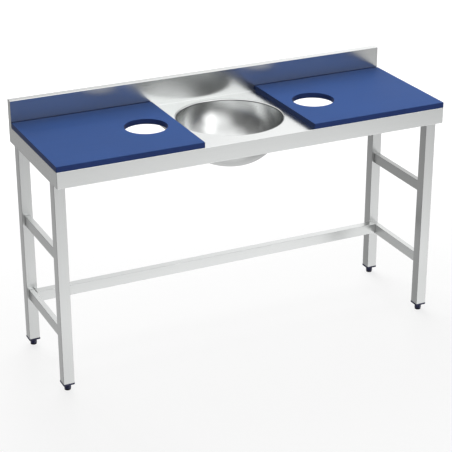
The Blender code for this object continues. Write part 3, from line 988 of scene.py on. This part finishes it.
def makeStiffener(name, node):
    sizes = hatSizes
    low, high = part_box(node)
    x = (low.x + high.x) / 2
    half = sizes["crown"] / 2
    path = [
        (low.x, high.z), (x - half, high.z), (x - half, low.z),
        (x + half, low.z), (x + half, high.z), (high.x, high.z),
    ]
    hat = drawLine(name, [(across, low.y, z) for across, z in path])
    stretchLine(hat, (0, high.y - low.y, 0))
    faceUp(hat, max(hat.data.polygons, key=lambda face: abs(face.normal.z)))
    fold(hat, 1, {spot(*place) for place in path[1:-1]}, sizes["fold"], sizes["foldSteps"])
    addWall(hat, sizes["sheet"])
    finishPiece(hat, "endSheet", "table", [node])


# Studs and nuts that hold the top
fixingSizes = {
    "threadStart": 0.004,  # above the nut
    "threadPlain": 0.0005,
    "pitch": 0.00125,
    "threadDepth": 0.0007,
    "tip": 0.0012,
    "studSteps": 24,
    "nutPlay": 0.0002,
    "nutEdge": 0.0007,
    "nutEdgeSteps": 2,
}


def makeFixing(place):
    sizes = fixingSizes
    stud, nut = f"frame_stud_{place}", f"frame_nut_{place}"
    low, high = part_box(stud)
    x, y = middle(low, high)
    radius = halfWidth(low, high)
    nutLow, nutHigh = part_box(nut)
    start = nutHigh.z + sizes["threadStart"]
    profile = [(0, high.z), (radius, high.z), (radius, start)]
    profile += thread(radius, low.z, start - sizes["threadPlain"], sizes["pitch"], sizes["threadDepth"])
    profile += [(radius - sizes["tip"], low.z), (0, low.z)]
    piece = spinProfile("frameStud" + tag(place), profile, x, y, sizes["studSteps"])
    finishPiece(piece, "zinc", "table", [stud], evened=False)
    piece = hexagon("frameNut" + tag(place), nutLow, nutHigh, x, y)
    drill(piece, radius + sizes["nutPlay"], nutLow.z, nutHigh.z, x, y)
    roundEdges(piece, sizes["nutEdge"], sizes["nutEdgeSteps"])
    finishPiece(piece, "zinc", "table", [nut])


# Pegs under the boards
pegSizes = {
    "round": 0.0015,
    "roundSteps": 5,
    "steps": 40,
}


def makePeg(place):
    sizes = pegSizes
    node = f"board_peg_{place}"
    low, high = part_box(node)
    x, y = middle(low, high)
    radius, size = halfWidth(low, high), sizes["round"]
    profile = [(0, high.z)] + arc(radius - size, high.z - size, size, 90, 0, sizes["roundSteps"])
    profile += [(radius, low.z), (0, low.z)]
    peg = spinProfile("boardPeg" + tag(place), profile, x, y, sizes["steps"])
    finishPiece(peg, "bright", "table", [node], evened=False)


for way in ("left", "right"):
    for row in ("inner", "outer"):
        makeStiffener("stiffener" + way.title() + row.title(), f"stiffener_{way}_{row}")
    for row in ("front", "back"):
        makeFixing(f"{way}_{row}")
        makePeg(f"{way}_{row}")
print("underside fitted")


# The drain: body, gasket, lock nut and strainer
drainSizes = {
    "steps": 96,
    "flangeRound": 0.0012,
    "flangeSteps": 5,
    "flangeThick": 0.002,
    "recess": 0.0238,
    "bore": 0.017,
    "tail": 0.020,
    "pitch": 0.0022,
    "threadDepth": 0.0009,
    "threadStart": 0.001,  # above the nut, and above the tail's end
    "threadPlain": 0.0005,
    "tailHole": 0.0203,  # in the gasket and the nut
    "holeSteps": 64,
    "gasketRound": 0.0010,
    "gasketFlat": 0.0004,
    "nutEdge": 0.0010,
}
strainerSizes = {
    "plate": 0.0012,
    "plateEdge": 0.0004,
    "knob": 0.0040,
    "knobRound": 0.0012,
    "neck": 0.0020,
    "flare": ((0.0020, 0.0020), (0.0028, 0.0008), (0.0048, 0)),  # radius, and height over the plate
    "holeRings": ((0.0105, 8, 0.0024), (0.0178, 16, 0.0020)),  # radius of the ring, count, radius of a hole
    "holeSides": 20,
}


def makeDrainBody():
    sizes = drainSizes
    low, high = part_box("drain_body")
    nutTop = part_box("drain_lock_nut")[1].z
    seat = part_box("drain_strainer")[0].z - seatGap
    flange, land = halfWidth(low, high), high.z - sizes["flangeThick"]
    tail, soft, over = sizes["tail"], sizes["flangeRound"], sizes["threadStart"]
    depth, recess, bore = sizes["threadDepth"], sizes["recess"], sizes["bore"]
    profile = [(recess, high.z)]
    profile += arc(flange - soft, high.z - soft, soft, 90, 0, sizes["flangeSteps"])
    profile += [(flange, land), (tail, land), (tail, nutTop + over)]
    profile += thread(tail, low.z + over, nutTop + over - sizes["threadPlain"], sizes["pitch"], depth)
    profile += [(tail - depth, low.z), (bore, low.z), (bore, seat), (recess, seat)]
    body = spinProfile("drainBody", profile, 0, 0, sizes["steps"], closed=True)
    finishPiece(body, "bright", "table", ["drain_body"], evened=False)


def makeGasket():
    sizes = drainSizes
    low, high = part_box("drain_gasket")
    wide, hole = halfWidth(low, high), sizes["tailHole"]
    size, flat = sizes["gasketRound"], sizes["gasketFlat"]
    profile = [(hole, high.z), (wide - flat, high.z)]
    profile += arc(wide - size, (low.z + high.z) / 2, size, 80, -80, 6)
    profile += [(wide - flat, low.z), (hole, low.z)]
    gasket = spinProfile("drainGasket", profile, 0, 0, sizes["holeSteps"], closed=True)
    finishPiece(gasket, "rubber", "table", ["drain_gasket"], evened=False)


def makeLockNut():
    sizes = drainSizes
    low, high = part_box("drain_lock_nut")
    nut = hexagon("drainLockNut", low, high, 0, 0)
    drill(nut, sizes["tailHole"], low.z, high.z, sides=sizes["holeSteps"])
    roundEdges(nut, sizes["nutEdge"])
    finishPiece(nut, "bright", "table", ["drain_lock_nut"])


def makeStrainer():
    sizes = strainerSizes
    low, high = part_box("drain_strainer")
    radius, top = halfWidth(low, high), low.z + sizes["plate"]
    knob, size, edge = sizes["knob"], sizes["knobRound"], sizes["plateEdge"]
    profile = [(0, high.z)] + arc(knob - size, high.z - size, size, 90, -30, 6)
    profile += [(sizes["neck"], high.z - knob)]
    profile += [(across, top + rise) for across, rise in sizes["flare"]]
    profile += [(radius - edge, top), (radius, top - edge), (radius, low.z), (0, low.z)]
    strainer = spinProfile("drainStrainer", profile, 0, 0, drainSizes["steps"])
    for ring, count, hole in sizes["holeRings"]:
        for index in range(count):
            angle = 2 * pi * (index + 0.5) / count
            x, y = ring * cos(angle), ring * sin(angle)
            drill(strainer, hole, low.z, top, x, y, sizes["holeSides"])
    finishPiece(strainer, "bright", "drain_strainer", ["drain_strainer"], evened=False)


makeDrainBody()
makeGasket()
makeLockNut()
makeStrainer()
print("drain fitted")


# Floor, light and camera
studio = {
    "floorSize": 40.0,
    "floorGlow": (0.80, 0.99),  # near the table and far from it
    "floorFade": (0.9, 2.6),
    "floorShade": 0.20,
    "floorRoughness": 0.9,
    "camera": (-2.17218, -4.54667, 2.64127),
    "forward": (0.39211064, 0.82655204, -0.40380809),
    "right": (0.90320392, -0.42920906, -0.00150506),
    "lens": 117.457,
    "sensor": 36,
    "base": 0.043,  # what the steel sees between the lights
    # azimuth from the front towards +X, elevation, inner and outer half angle, strength
    "lights": [
        (-180, -60, 12, 66, 0.69),
        (0, -60, 8, 46, 0.44),
        (39, -45, 2, 21, 0.87),
        (-20, -30, 4, 32, 0.41),
        (20, -30, 2, 21, 0.79),
        (40, -30, 2, 21, 0.79),
        (80, -30, 2, 21, 0.80),
        (65, 0, 2, 21, 0.59),
        (115, 0, 8, 46, 0.64),
        (-123, 15, 2, 21, 0.55),
        (-57, 15, 4, 32, 0.08),
        (-41, 15, 2, 21, 0.09),
        (-8, 15, 4, 32, 0.31),
        (25, 15, 2, 21, 1.03),
        (90, 15, 2, 21, 0.44),
        (139, 15, 4, 32, 0.52),
        (-90, 30, 2, 21, 0.09),
        (18, 30, 2, 21, 0.42),
        (72, 30, 4, 32, 0.63),
        (-146, 45, 8, 46, 0.19),
        (35, 42, 6, 18, 0.75),
        (11, 45, 8, 46, 0.99),
        (146, 45, 2, 21, 0.47),
        (-60, 60, 2, 21, 0.51),
        (-60, 60, 8, 46, 0.15),
        (150, 60, 12, 66, 0.95),
        (-150, 75, 4, 32, 0.80),
    ],
    # place, aim, width and power of the soft lamps
    "lamps": [
        ((0, 5, 2), (0, 0, 0.7), 4, 254),
        ((0, 0, 4.5), (0, 0, 0.7), 3, 37),
        ((0, 0, 4.5), (0, 0, 0.7), 6, 44),
        ((1.3, 2.8, 3.9), (0.2, 0, 0.7), 3, 99),
        ((0.5, -3, 4), (0, 0, 0.7), 3, 22),
        ((0, -4, 0.6), (0, 0, 0.7), 2, 47),
        ((-4, 0, 0.6), (0, 0, 0.7), 2, 13),
        ((0, 0, 0.002), (0, 0, 1), 12, 39),
    ],
}


def makeWorld():  # the steel reflects the soft lights, and the camera sees plain white
    world = bpy.data.worlds.new("softStudio")
    bpy.context.scene.world = world
    world.use_nodes = True
    tree = world.node_tree
    tree.nodes.clear()
    sky = Finish(tree)
    toward = sky.node("ShaderNodeTexCoord", output="Generated")
    light = studio["base"]
    for azimuth, elevation, inner, outer, strength in studio["lights"]:
        turn, lift = radians(azimuth), radians(elevation)
        aim = (sin(turn) * cos(lift), -cos(turn) * cos(lift), sin(lift))
        dot = {"operation": "DOT_PRODUCT"}
        facingLight = sky.node("ShaderNodeVectorMath", dot, {0: toward, 1: aim}, "Value")
        light = light + sky.ramp(facingLight, cos(radians(outer)), cos(radians(inner)), 0.0, strength)
    white = (1, 1, 1, 1)
    shaped = sky.node("ShaderNodeBackground", {}, {"Color": white, "Strength": light})
    plain = sky.node("ShaderNodeBackground", {}, {"Color": white, "Strength": 1.0})
    seen = sky.node("ShaderNodeLightPath", output="Is Camera Ray")
    both = sky.node("ShaderNodeMixShader", {}, {0: seen, 1: shaped, 2: plain})
    final = tree.nodes.new("ShaderNodeOutputWorld")
    tree.links.new(both.socket, final.inputs["Surface"])
    world.cycles_visibility.diffuse = False


def makeLamps():  # they light the plastics and the floor, and aren't seen in the steel
    for index, (place, aim, width, power) in enumerate(studio["lamps"]):
        data = bpy.data.lights.new(f"softLamp{index + 1}", "AREA")
        data.size = width
        data.energy = power
        lamp = bpy.data.objects.new(data.name, data)
        bpy.context.scene.collection.objects.link(lamp)
        lamp.location = place
        lamp.rotation_euler = (Vector(aim) - Vector(place)).to_track_quat("-Z", "Y").to_euler()
        lamp.visible_glossy = False
        lamp.visible_camera = False


def makeFloor():
    bpy.ops.object.select_all(action="DESELECT")
    bpy.ops.mesh.primitive_plane_add(size=studio["floorSize"], location=(0, 0, 0))
    floor = newest("paleFloor")
    settle(floor)
    finish = newFinish("paleFloor", (studio["floorShade"],) * 3, studio["floorRoughness"], 0.0)
    finish.shader.inputs["Specular IOR Level"].default_value = 0.0
    finish.shader.inputs["Emission Strength"].default_value = 1.0
    distance = finish.node("ShaderNodeVectorMath", {"operation": "LENGTH"}, {0: finish.place()}, "Value")
    near, far = [(glow,) * 3 for glow in studio["floorGlow"]]
    finish.feed("Emission Color", finish.tint(finish.ramp(distance, *studio["floorFade"]), near, far))
    floor.data.materials.append(finish.material)
    floor.visible_glossy = False
    floor.visible_diffuse = False


def makeCamera():
    data = bpy.data.cameras.new("photoCamera")
    data.sensor_width = studio["sensor"]
    data.lens = studio["lens"]
    camera = bpy.data.objects.new("photoCamera", data)
    bpy.context.scene.collection.objects.link(camera)
    forward, right = Vector(studio["forward"]), Vector(studio["right"])
    up = right.cross(forward)
    turned = Matrix((right, up, -forward)).transposed().to_4x4()
    camera.matrix_world = Matrix.Translation(studio["camera"]) @ turned
    bpy.context.scene.camera = camera


makeWorld()
makeLamps()
makeFloor()
makeCamera()
bpy.context.scene.view_settings.view_transform = "Standard"

print("scene ready")
